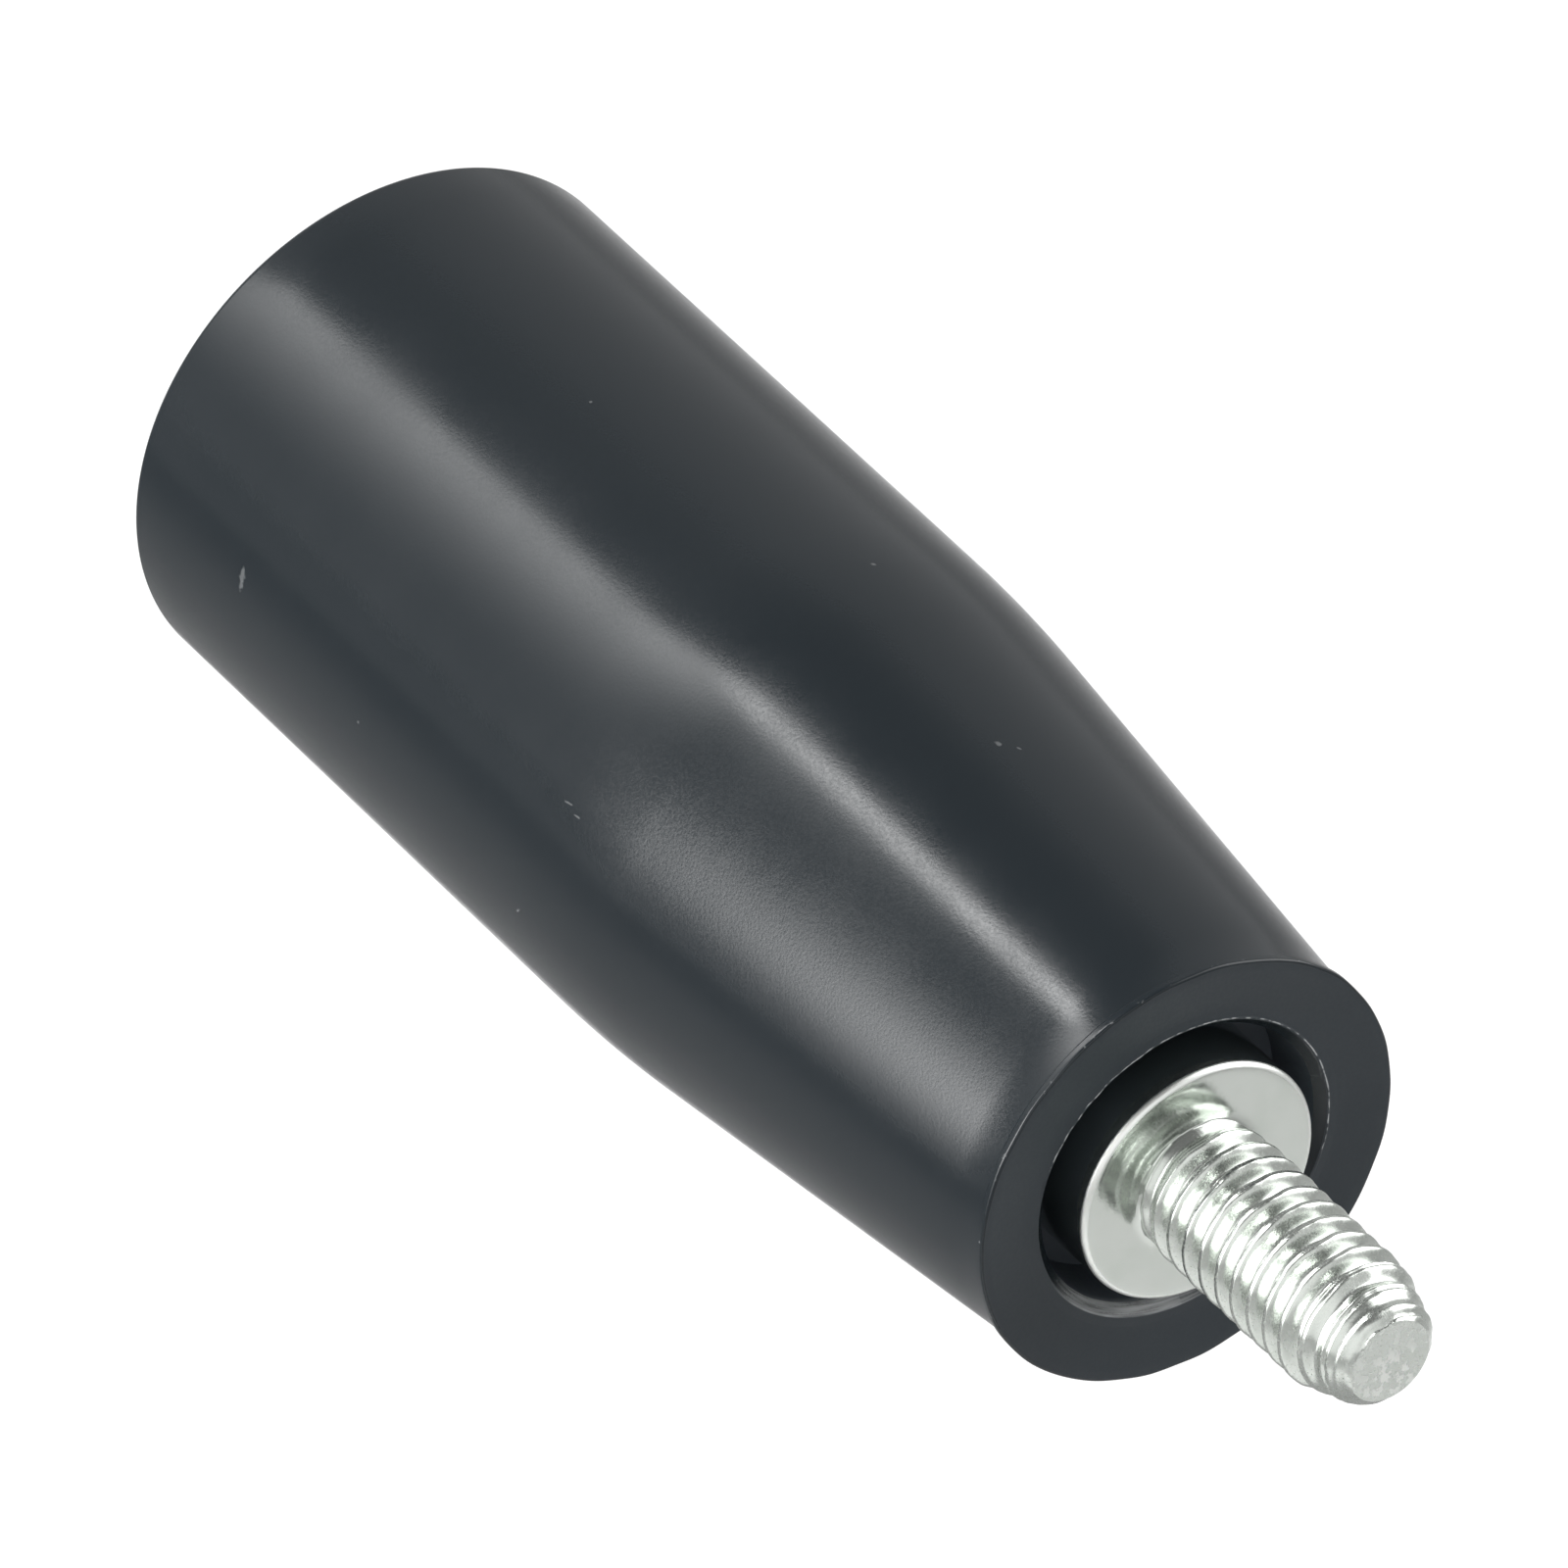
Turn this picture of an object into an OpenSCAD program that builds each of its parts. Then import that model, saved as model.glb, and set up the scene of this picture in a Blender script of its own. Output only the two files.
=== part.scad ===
// Revolving machine handle: a moulded grip that turns freely on a steel spindle with a threaded stud.
// The origin is the centre of the collar's seating face and +X runs along the stud to its tip.
// Every round piece is a profile of [radius, position along the axis] points turned about the axis.

/* [Grip] */
// Diameter of the straight part of the grip
grip_d = 22; // [20:0.5:26]
// Length of the grip from end face to end face
grip_len = 53; // [48:1:70]
// Length of the straight part, up to the corner where the taper would start without its blend
straight_len = 29; // [20:0.5:36]
// Radius that blends the straight part into the taper
knee_r = 60; // [20:5:90]
// Diameter of the thin burr round the end face at the stud
burr_d = 17.8; // [17:0.1:19]
// Height of the burr above the end of the taper
burr_h = 0.25; // [0.1:0.05:0.4]
// Length of the burr along the axis, with the flare that leads up to it
burr_len = 0.5; // [0.45:0.05:0.8]
// Length of the flare between the taper and the burr
flare_len = 0.2; // [0.1:0.05:0.25]
// Edge radius of the end face at the stud
burr_edge_r = 0.1; // [0.05:0.05:0.15]
// Edge radius of the far end face
far_edge_r = 0.3; // [0.2:0.1:1.5]
// Depth to which the end face at the stud is dished, from its edge to the recess
dish_depth = 0.25; // [0:0.05:0.4]
// Depth of the recess round the collar
recess_depth = 3.2; // [2.5:0.1:5]
// Depth of the pocket in the far end
pocket_depth = 10; // [7:0.5:16]
// Chamfer at the mouth of the recess
recess_chamfer = 0.35; // [0.1:0.05:0.5]
// Chamfer at the mouths of the pocket and the bearing bore
mouth_chamfer = 0.2; // [0.1:0.05:0.4]

/* [Spindle] */
// Outer diameter of the stud's thread
stud_d = 6; // [5.5:0.5:7]
// Length of the stud from the seating face
stud_len = 12; // [9:0.5:20]
// Diameter of the flat at the stud's tip
tip_flat_d = 3.5; // [3:0.1:3.9]
// Diameter at the narrow end of the lead cone, where the tip's 45 degree edge starts
tip_d = 4.4; // [4:0.1:5]
// Length of the lead cone at the stud's tip
cone_len = 2.5; // [1:0.1:3]
// Diameter of the collar
collar_d = 10; // [9:0.1:10.5]
// Height of the seating face above the grip's end face
collar_proud = 0.75; // [0.3:0.05:1.5]
// Edge radius of the collar
collar_edge_r = 0.25; // [0.2:0.05:0.6]
// Diameter of the shank that the grip turns on
shank_d = 8; // [7.5:0.1:8.5]
// Length of the spindle behind the groove
land_len = 1.6; // [1.2:0.1:2.5]
// Chamfer at the spindle's inner end
shank_chamfer = 0.4; // [0.2:0.1:0.6]
// Width across the flats of the key socket
key_af = 4; // [3:0.5:4]
// Depth of the key socket's flats
key_depth = 4; // [2.5:0.5:6]

/* [Retaining ring] */
// Outer diameter of the ring
ring_d = 12.3; // [11.5:0.1:12.5]
// Thickness of the ring
ring_t = 0.7; // [0.6:0.1:0.9]
// Radial width of the ring's outer band
band_w = 1.5; // [1:0.1:1.7]
// Width of the lugs that grip the groove
lug_w = 2; // [1.4:0.1:2.6]
// Width of the ring's open mouth
mouth_w = 5.2; // [4.6:0.1:5.6]
// Angle of the two front lugs from the middle of the mouth
lug_angle = 76; // [70:1:90]
// Diameter at the bottom of the groove in the spindle
groove_d = 6; // [5.8:0.1:6.4]

/* [Fits] */
// Radial clearance between the shank and the bearing bore
bearing_gap = 0.05; // [0.02:0.01:0.1]
// Play of the grip along the axis
end_play = 0.3; // [0.1:0.05:0.5]
// Clearance between the ring and its groove
ring_gap = 0.02; // [0.01:0.01:0.05]
// Radial gap between the collar and the recess round it
recess_gap = 0.9; // [0.6:0.1:1.6]
// Radial gap between the ring and the pocket in the far end
pocket_gap = 0.45; // [0.3:0.05:0.8]

/* [Hidden] */
$fn = 96;
arc_steps = 8;
point_angle = 118;

face_x = -collar_proud;
far_x = face_x - grip_len;
recess_floor_x = face_x - recess_depth;
pocket_floor_x = far_x + pocket_depth;
bore_d = shank_d + 2 * bearing_gap;
recess_d = collar_d + 2 * recess_gap;
pocket_d = ring_d + 2 * pocket_gap;

knee_x = far_x + straight_len;
neck_x = face_x - burr_len;
neck_r = burr_d / 2 - burr_h;
taper_angle = atan((grip_d / 2 - neck_r) / (neck_x - knee_x));
knee_start_x = knee_x - knee_r * tan(taper_angle / 2);

tip_edge = (tip_d - tip_flat_d) / 2;
collar_back_x = recess_floor_x + end_play / 2;
groove_front_x = pocket_floor_x - end_play / 2 + ring_gap;
groove_back_x = groove_front_x - ring_t - 2 * ring_gap;
spindle_end_x = groove_back_x - land_len;
key_point_depth = key_af / 2 / tan(point_angle / 2);

// Points of an arc in the profile plane, with 0 degrees along +radius and 90 degrees along +X
function arc(centre, r, from, to) = [
    for (i = [0 : arc_steps])
        let (a = from + (to - from) * i / arc_steps)
        centre + r * [cos(a), sin(a)]
];

// Turns a profile of [radius, position] points about the X axis
module turned(profile) {
    rotate([0, 90, 0]) rotate_extrude() polygon(profile);
}

// Grip: straight body, blended taper, burred end edge and a stepped bore right through
module grip() {
    outside = concat(
        arc([grip_d / 2 - far_edge_r, far_x + far_edge_r], far_edge_r, -90, 0),
        arc([grip_d / 2 - knee_r, knee_start_x], knee_r, 0, taper_angle),
        [[neck_r, neck_x], [burr_d / 2, neck_x + flare_len]],
        arc([burr_d / 2 - burr_edge_r, face_x - burr_edge_r], burr_edge_r, 0, 90)
    );
    inside = [
        [recess_d / 2 + recess_chamfer, face_x - dish_depth],
        [recess_d / 2, face_x - dish_depth - recess_chamfer],
        [recess_d / 2, recess_floor_x],
        [bore_d / 2 + mouth_chamfer, recess_floor_x],
        [bore_d / 2, recess_floor_x - mouth_chamfer],
        [bore_d / 2, pocket_floor_x + mouth_chamfer],
        [bore_d / 2 + mouth_chamfer, pocket_floor_x],
        [pocket_d / 2, pocket_floor_x],
        [pocket_d / 2, far_x + mouth_chamfer],
        [pocket_d / 2 + mouth_chamfer, far_x]
    ];
    color([0.15, 0.16, 0.17]) turned(concat(outside, inside));
}

// Hexagonal key socket with a drilled point, cut into the spindle's inner end
module key_socket() {
    translate([spindle_end_x, 0, 0]) rotate([0, 90, 0]) {
        translate([0, 0, -1]) cylinder(d = key_af / cos(30), h = key_depth + 1, $fn = 6);
        translate([0, 0, key_depth]) cylinder(d1 = key_af, d2 = 0, h = key_point_depth);
    }
}

// Spindle: stud, collar, shank and ring groove turned from one bar
module spindle() {
    stud_side = concat(
        [[0, stud_len], [tip_flat_d / 2, stud_len], [tip_d / 2, stud_len - tip_edge]],
        [[stud_d / 2, stud_len - tip_edge - cone_len], [stud_d / 2, 0]],
        arc([collar_d / 2 - collar_edge_r, -collar_edge_r], collar_edge_r, 90, 0),
        [[collar_d / 2, collar_back_x]]
    );
    shank_side = [
        [shank_d / 2, collar_back_x],
        [shank_d / 2, groove_front_x],
        [groove_d / 2, groove_front_x],
        [groove_d / 2, groove_back_x],
        [shank_d / 2, groove_back_x],
        [shank_d / 2, spindle_end_x + shank_chamfer],
        [shank_d / 2 - shank_chamfer, spindle_end_x],
        [0, spindle_end_x]
    ];
    color([0.76, 0.77, 0.76]) difference() {
        turned(concat(stud_side, shank_side));
        key_socket();
    }
}

// Retaining ring: flat open ring whose three lugs sit in the spindle's groove
module retaining_ring() {
    band_inner_r = ring_d / 2 - band_w;
    color([0.33, 0.34, 0.35]) translate([groove_back_x + ring_gap, 0, 0]) rotate([0, 90, 0])
        linear_extrude(ring_t) difference() {
            circle(d = ring_d);
            difference() {
                circle(r = band_inner_r);
                for (a = [lug_angle, 180, -lug_angle])
                    rotate(a) translate([0, -lug_w / 2]) square([ring_d / 2, lug_w]);
            }
            circle(d = groove_d + 2 * ring_gap);
            translate([0, -mouth_w / 2]) square([ring_d, mouth_w]);
        }
}

grip();
spindle();
retaining_ring();
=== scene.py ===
"""Looks of a revolving machine handle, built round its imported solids.

The file is laid out as an add-on: property groups hold the sizes and colours, one operator makes each
piece or the studio, and main() runs them in order. Lengths are in metres, in the part's own frame: the
origin is the centre of the collar's seating face and +X runs along the stud to its tip.
"""

import math
from typing import NamedTuple

import bmesh
import bpy
import numpy as np
from bpy.props import FloatProperty, FloatVectorProperty, IntProperty, PointerProperty
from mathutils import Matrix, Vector


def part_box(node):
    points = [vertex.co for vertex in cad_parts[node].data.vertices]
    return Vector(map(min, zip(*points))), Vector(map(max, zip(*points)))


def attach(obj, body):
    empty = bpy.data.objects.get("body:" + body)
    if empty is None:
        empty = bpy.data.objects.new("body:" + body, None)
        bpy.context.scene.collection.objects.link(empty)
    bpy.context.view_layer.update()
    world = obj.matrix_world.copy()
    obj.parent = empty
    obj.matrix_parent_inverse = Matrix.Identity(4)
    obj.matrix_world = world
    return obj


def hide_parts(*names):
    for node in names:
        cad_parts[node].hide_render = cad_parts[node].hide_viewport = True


bl_info = {
    "name": "Revolving Machine Handle",
    "version": (1, 0, 0),
    "blender": (4, 5, 0),
    "location": "View3D > Sidebar > Handle",
    "description": "Builds the moulded grip, the turned spindle and the studio of a revolving handle",
    "category": "Add Mesh",
}

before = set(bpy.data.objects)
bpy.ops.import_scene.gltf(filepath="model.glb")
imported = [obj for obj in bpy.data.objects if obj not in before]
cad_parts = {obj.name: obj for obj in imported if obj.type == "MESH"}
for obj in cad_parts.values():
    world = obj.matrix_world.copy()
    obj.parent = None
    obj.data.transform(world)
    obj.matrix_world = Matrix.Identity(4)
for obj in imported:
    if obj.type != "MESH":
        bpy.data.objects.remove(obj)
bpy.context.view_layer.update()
GRIP_LOW, GRIP_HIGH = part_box("grip")
SPINDLE_LOW, SPINDLE_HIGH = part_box("spindle")
RING_LOW, RING_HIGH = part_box("retaining_ring")
RING_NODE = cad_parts["retaining_ring"]

MM = 0.001
TURN = 2 * math.pi
SHARP_ANGLE = math.radians(38)
HEX_SIDES = 6
PANEL_STEPS = 12
SENSOR_MM = 36.0

# Rolled thread along the axis, in shares of its pitch
FLANK_END = 0.47
FLANK_LEN = 0.44
HELIX_WANDER = 0.03
SEAM_HALF_WIDTH = 0.09

# Rolled thread's heights: the first two in shares of its depth, the third in shares of its seam's depth
DEPTH_AT_COLLAR = 0.15
CREST_SINK = 0.3
SEAM_KEPT = 0.55

# Power with which the thread fades up the lead cone
TIP_FADE = 2.2

# Key socket: its mouth and its drilled hole over its width, the mouth's depth and the drill's point angle
KEY_MOUTH = 1.04
KEY_DRILL = 0.97
KEY_MOUTH_DEPTH = 0.1 * MM
DRILL_POINT = math.radians(118)

# Marks on the plastic: strengths of the dust and the scuffs, and the roughness that a full mark adds
DUST_STRENGTH = 0.2
SCUFF_STRENGTH = 0.22
MARK_ROUGHENING = 0.25

# Middles of the flash and of the painted sheen patch round the recess, in degrees from +Y towards +Z
FLASH_TURN = 68
SHEEN_PATCH_TURN = 246

# Middle of the scuffs on the tip's flat, in mm from the axis
TIP_SCUFFS = (0.0, 0.1, -0.75)

# Floor sheets: the middle and half sizes in metres of the grey mat, a painted shade for the grip's lower
# flank to reflect, and the white sheet's size over the picture's
SHADE_MAT_MIDDLE = (-0.42, -0.3, 0.0)
SHADE_MAT_HALF_SIZES = (0.5, 0.55)
SHEET_MARGIN = 1.6

# Heights between which the room's walls turn into its ceiling, from 0 at the horizon to 1 overhead
WALL_TOP = 0.6
CEILING_EDGE = 0.84

# Scuffs on the grip's skin: (x in mm, degrees from +Z towards +Y, slant in degrees, length and width in mm)
SCUFFS = (
    (-46.5, -79.8, 90, 1.10, 0.34),
    (-27.8, -96.2, 47, 0.45, 0.10),
    (-25.1, 14.5, 60, 0.32, 0.18),
    (-14.6, 6.5, 20, 0.32, 0.24),
    (-14.1, 9.8, 30, 0.24, 0.10),
    (-25.9, -65.2, 10, 0.50, 0.10),
    (-25.3, -66.2, 10, 0.40, 0.10),
)


class LightPanel(NamedTuple):
    """A curved panel of light: metres away, degrees round and up, fades as (edge, full) shares."""

    name: str
    distance: float
    low_turns: tuple
    high_turns: tuple
    heights: tuple
    across: tuple
    upright: tuple


LIGHT_PANELS = (
    LightPanel(
        name="strip", distance=0.7, low_turns=(-71.5, -26), high_turns=(-68.7, -43.4), heights=(10, 56),
        across=((0, 0.08), (1, 0.2)), upright=((0, 1.2), (1, 0.8)),
    ),
    LightPanel(
        name="spot", distance=0.69, low_turns=(-65.5, -50), high_turns=(-65.5, -50), heights=(50, 76),
        across=((0, 0.05), (1, 0.7)), upright=((0, 0.3), (1, 0.9)),
    ),
    LightPanel(
        name="window", distance=0.65, low_turns=(-29.6, 3), high_turns=(-29.6, 3), heights=(-20, 70),
        across=((0, 0.1), (1, 0.6)), upright=((0, 0.38), (1, 0.27)),
    ),
    LightPanel(
        name="side", distance=0.41, low_turns=(5, 120), high_turns=(5, 120), heights=(-15, 60),
        across=((0, 0.25), (1, 0.6)), upright=((0, 0.25), (1, 0.6)),
    ),
    LightPanel(
        name="rear", distance=0.4, low_turns=(125, 195), high_turns=(125, 195), heights=(0, 66),
        across=((0, 0.15), (1, 0.85)), upright=((0, 0.2), (1, 0.85)),
    ),
)


# Properties


def length(name, description, default):
    """A length in metres that a user may change."""
    return FloatProperty(
        name=name, description=description, default=default, unit="LENGTH", subtype="DISTANCE", precision=5
    )


def share(name, description, default):
    """A value from 0 to 1."""
    return FloatProperty(
        name=name, description=description, default=default, min=0.0, max=1.0, subtype="FACTOR"
    )


def level(name, description, default):
    """A plain number above 0."""
    return FloatProperty(name=name, description=description, default=default, min=0.0)


def degrees(name, description, default):
    """An angle, given in degrees."""
    return FloatProperty(
        name=name, description=description, default=math.radians(default), subtype="ANGLE"
    )


def colour(name, description, default):
    """A linear colour."""
    return FloatVectorProperty(
        name=name, description=description, default=default, size=3, min=0.0, max=1.0, subtype="COLOR"
    )


class GripSettings(bpy.types.PropertyGroup):
    """Sizes and colours of the moulded grip."""

    straight_len: length("Straight length", "Straight part, up to the corner of the taper", 29 * MM)
    knee_r: length("Knee radius", "Radius that blends the straight part into the taper", 60 * MM)
    face_d: length("End face diameter", "Diameter of the end face at the stud, with its burr", 17.8 * MM)
    curl_len: length("Curl length", "Length over which the taper curls outwards before the burr", 1.6 * MM)
    curl_r: length("Curl radius", "Radius of that outward curl", 18 * MM)
    burr_h: length("Burr height", "Height of the burr above the end of the taper", 0.25 * MM)
    burr_len: length("Burr length", "Length of the burr with the flare that leads up to it", 0.5 * MM)
    flare_len: length("Flare length", "Length of the flare between the taper and the burr", 0.2 * MM)
    burr_edge_r: length("Burr edge radius", "Edge radius of the end face", 0.1 * MM)
    burr_wander: length("Burr wander", "How far the burr's edge wanders in and out", 0.015 * MM)
    far_edge_r: length("Far edge radius", "Edge radius of the far end face", 0.3 * MM)
    recess_d: length("Recess diameter", "Diameter of the recess round the collar", 11.8 * MM)
    recess_depth: length("Recess depth", "Depth of the recess round the collar", 3.2 * MM)
    recess_chamfer: length("Recess chamfer", "Chamfer at the mouth of the recess", 0.35 * MM)
    dish_depth: length("Dish depth", "How far the end face is dished towards the recess", 0.25 * MM)
    flash_h: length("Flash height", "Height of the thin flash round the recess", 0.05 * MM)
    flash_w: length("Flash width", "Width of the thin flash round the recess", 0.06 * MM)
    bore_d: length("Bore diameter", "Diameter of the bearing bore", 8.1 * MM)
    pocket_d: length("Pocket diameter", "Diameter of the pocket in the far end", 13.2 * MM)
    pocket_depth: length("Pocket depth", "Depth of the pocket in the far end", 10 * MM)
    mouth_chamfer: length("Mouth chamfer", "Chamfer at the mouths of the pocket and the bore", 0.2 * MM)
    segments: IntProperty(name="Segments", description="Facets round the grip", default=256, min=32)
    skin: colour("Skin", "Moulded satin skin", (0.0105, 0.0142, 0.0172))
    cut: colour("Cut face", "Matte end faces", (0.0189, 0.0247, 0.0299))
    bored: colour("Bored wall", "Walls of the recess, the bore and the pocket", (0.060, 0.071, 0.085))
    # The rubbed colour paints real flecks, scuffs and dust, and also the painted highlight on the top of the
    # recess's flash and the painted sheen patch low on its chamfer.
    rubbed_and_sheen: colour("Rubbed edge", "Flecks on edges, scuffs, dust and worn film", (0.34, 0.35, 0.355))
    skin_roughness: share("Skin roughness", "Roughness of the satin skin", 0.195)
    cut_roughness: share("Cut roughness", "Roughness of the matte end faces", 0.52)
    bored_roughness: share("Bored roughness", "Roughness of the bored walls", 0.5)


class SpindleSettings(bpy.types.PropertyGroup):
    """Sizes and colours of the turned spindle."""

    stud_d: length("Thread diameter", "Nominal outer diameter of the thread", 6 * MM)
    crest_d: length("Crest diameter", "Diameter over the rolled crests", 5.76 * MM)
    pitch: length("Pitch", "Pitch of the right-hand thread", 1 * MM)
    thread_depth: length("Thread depth", "Depth from crest to root", 0.61 * MM)
    runout_len: length("Run-out", "Length over which the thread fades at the collar", 1.6 * MM)
    root_fillet: length("Root fillet", "Fillet between the stud and the collar", 0.08 * MM)
    tip_flat_d: length("Tip flat", "Diameter of the flat at the tip", 3.5 * MM)
    tip_d: length("Tip diameter", "Diameter at the narrow end of the lead cone", 4.4 * MM)
    cone_len: length("Cone length", "Length of the lead cone at the tip", 2.5 * MM)
    tip_depth: length("Tip depth", "Thread depth that is left at the very tip", 0.05 * MM)
    seam_depth: length("Seam depth", "Depth of the seam that rolling leaves in the crests", 0.08 * MM)
    thread_start: degrees("Thread start", "Angle from +Y towards +Z of a crest at the seating face", 140)
    crest_wander: length("Crest wander", "How far the rolled crests wander in height", 0.025 * MM)
    collar_edge_r: length("Collar edge radius", "Edge radius of the collar", 0.25 * MM)
    collar_back: length("Collar thickness", "From the seating face to the collar's back", 3.8 * MM)
    shank_d: length("Shank diameter", "Diameter of the shank in the bore", 8 * MM)
    shank_chamfer: length("Shank chamfer", "Chamfer at the inner end", 0.4 * MM)
    groove_d: length("Groove diameter", "Diameter at the bottom of the ring groove", 6 * MM)
    ring_gap: length("Ring gap", "Clearance between the ring and its groove", 0.02 * MM)
    key_af: length("Key size", "Width across the flats of the key socket", 4 * MM)
    key_depth: length("Key depth", "Depth of the socket's flats", 4 * MM)
    row_step: length("Row step", "Distance between rows of points on the thread", 0.04 * MM)
    segments: IntProperty(name="Segments", description="Facets round, a multiple of six", default=192, min=48)
    zinc: colour("Zinc", "Bright zinc plating", (0.615, 0.645, 0.61))
    zinc_dull: colour("Dull zinc", "Duller, greener clouds in the plating", (0.58, 0.615, 0.575))
    roughness: share("Roughness", "Mean roughness of the plating on turned faces", 0.14)
    thread_roughness: share("Thread roughness", "Mean roughness of the plating on the rolled thread", 0.235)
    # The scuffed colour paints real scuffs on the tip's flat and a painted highlight round the collar's edge.
    scuffed: colour("Scuffed zinc", "Scuffs on the tip's flat and the collar's edge", (0.80, 0.82, 0.79))


class RingSettings(bpy.types.PropertyGroup):
    """Looks of the stamped retaining ring."""

    edge_r: length("Edge radius", "Rounding of the stamped edges", 0.06 * MM)
    steel: colour("Steel", "Dark phosphated spring steel", (0.16, 0.16, 0.17))
    roughness: share("Roughness", "Mean roughness of the ring", 0.38)


class StudioSettings(bpy.types.PropertyGroup):
    """Camera, floor and lights."""

    azimuth: degrees("Azimuth", "Camera's turn about +Z from a view along +Y", 56.38)
    elevation: degrees("Elevation", "Camera's height above the horizon", 38.34)
    aim: FloatVectorProperty(
        name="Aim", description="Point at the middle of the picture", size=3, subtype="TRANSLATION",
        unit="LENGTH", default=(-15.90 * MM, -7.25 * MM, 10.88 * MM),
    )
    distance: length("Distance", "From the camera to the aim", 0.88)
    lens: level("Lens", "Focal length in millimetres on a 36 mm sensor", 564.66)
    floor_drop: length("Floor drop", "Depth of the floor below the axis", 0.3)
    floor_size: length("Floor size", "Side of the floor", 12.0)
    floor_pale: share("Floor paint", "Paint of the pale floor", 0.86)
    # The grey mat is painted shade: a darker sheet where the grip's lower flank reflects the floor.
    shade_mat_grey: share("Mat grey", "Paint of the grey mat on the grip's left", 0.31)
    sheet_paint: share("Sheet paint", "Paint of the sheet behind the part", 0.3)
    sheet_glow: level("Sheet glow", "Plain white that the sheet adds for the eye and for reflections", 0.78)
    walls: level("Walls", "Brightness of the room's walls", 0.64)
    ceiling: level("Ceiling", "Brightness of the room overhead", 0.22)
    strip_radiance: level("Strip radiance", "Brightness of the tall strip light", 10.5)
    spot_radiance: level("Spot radiance", "Brightness of the lamp above the strip", 20.0)
    window_radiance: level("Window radiance", "Brightness of the window light in front", 15.5)
    side_radiance: level("Side radiance", "Brightness of the faint light on the stud's side", 0.62)
    rear_radiance: level("Rear radiance", "Brightness of the light behind the stud", 3.4)


# Shader helpers


def add_node(tree, kind, inputs=None, **settings):
    """Adds a shader node, changes its settings and fills or links its inputs."""
    made = tree.nodes.new(kind)
    for name, value in settings.items():
        setattr(made, name, value)
    for name, value in (inputs or {}).items():
        socket = made.inputs[name]
        if isinstance(value, bpy.types.NodeSocket):
            tree.links.new(value, socket)
        else:
            socket.default_value = value
    return made


def combine(tree, operation, first, second=0.0, clamp=False):
    """Result of a Math node."""
    made = add_node(tree, "ShaderNodeMath", {0: first, 1: second}, operation=operation, use_clamp=clamp)
    return made.outputs[0]


def remap(tree, value, low, high, to_low=0.0, to_high=1.0):
    """Value mapped smoothly from one range to another."""
    inputs = {"Value": value, "From Min": low, "From Max": high, "To Min": to_low, "To Max": to_high}
    made = add_node(tree, "ShaderNodeMapRange", inputs, interpolation_type="SMOOTHSTEP")
    return made.outputs[0]


def blend_colours(tree, factor, first, second):
    """Mix of two colours."""
    made = add_node(tree, "ShaderNodeMix", {0: factor}, data_type="RGBA")
    for socket, value in ((made.inputs[6], first), (made.inputs[7], second)):
        if isinstance(value, bpy.types.NodeSocket):
            tree.links.new(value, socket)
        else:
            socket.default_value = (*value, 1.0)
    return made.outputs[2]


def noise(tree, vector, scale, detail=2.0, roughness=0.5):
    """Noise of about so many features per millimetre, from 0 to 1."""
    inputs = {"Vector": vector, "Scale": scale, "Detail": detail, "Roughness": roughness}
    return add_node(tree, "ShaderNodeTexNoise", inputs).outputs["Fac"]


def new_material(name):
    """An empty node material with its coordinates in millimetres: (material, tree, coordinates)."""
    material = bpy.data.materials.new(name)
    material.use_nodes = True
    tree = material.node_tree
    tree.nodes.clear()
    place = add_node(tree, "ShaderNodeTexCoord").outputs["Object"]
    in_mm = add_node(tree, "ShaderNodeVectorMath", {0: place, "Scale": 1 / MM}, operation="SCALE")
    return material, tree, in_mm.outputs[0]


def finish_surface(tree, inputs, height=None, depth=0.0):
    """Ends a material in a Principled shader, with an optional bump of a depth in metres."""
    if height is not None:
        bump = add_node(tree, "ShaderNodeBump", {"Height": height, "Distance": depth, "Strength": 1.0})
        inputs = {**inputs, "Normal": bump.outputs["Normal"]}
    shader = add_node(tree, "ShaderNodeBsdfPrincipled", inputs)
    add_node(tree, "ShaderNodeOutputMaterial", {"Surface": shader.outputs[0]})


# Materials


def dust(tree, place):
    """Sparse pale specks, from 0 to 1."""
    inputs = {"Vector": place, "Scale": 0.28, "Randomness": 1.0}
    cells = add_node(tree, "ShaderNodeTexVoronoi", inputs, voronoi_dimensions="3D", feature="F1")
    speck = remap(tree, cells.outputs["Distance"], 0.022, 0.012)
    chosen = combine(tree, "GREATER_THAN", cells.outputs["Color"], 0.62)
    return combine(tree, "MULTIPLY", speck, chosen)


def scuffs(tree, place):
    """Small slanted scuffs at chosen places on the skin, from 0 to 1."""
    axes = add_node(tree, "ShaderNodeSeparateXYZ", {0: place}).outputs
    angle = combine(tree, "ARCTAN2", axes["Y"], axes["Z"])
    arc_len = combine(tree, "MULTIPLY", angle, GRIP_HIGH.z / MM)
    ragged = combine(tree, "MULTIPLY", noise(tree, place, 6.0, 2.0), 1.6)
    total = 0.0
    for x, turn, slant, long, wide in SCUFFS:
        aside = combine(tree, "SUBTRACT", axes["X"], x)
        round_it = combine(tree, "SUBTRACT", arc_len, math.radians(turn) * GRIP_HIGH.z / MM)
        lean = math.radians(slant)
        along = combine(tree, "ADD", combine(tree, "MULTIPLY", aside, 2 * math.cos(lean) / long),
                        combine(tree, "MULTIPLY", round_it, 2 * math.sin(lean) / long))
        across = combine(tree, "SUBTRACT", combine(tree, "MULTIPLY", round_it, 2 * math.cos(lean) / wide),
                         combine(tree, "MULTIPLY", aside, 2 * math.sin(lean) / wide))
        reach = add_node(tree, "ShaderNodeCombineXYZ", {0: along, 1: across}).outputs[0]
        away = add_node(tree, "ShaderNodeVectorMath", {0: reach}, operation="LENGTH").outputs["Value"]
        spot = remap(tree, combine(tree, "ADD", away, ragged), 1.9, 1.3)
        total = combine(tree, "MAXIMUM", total, spot)
    return total


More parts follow.
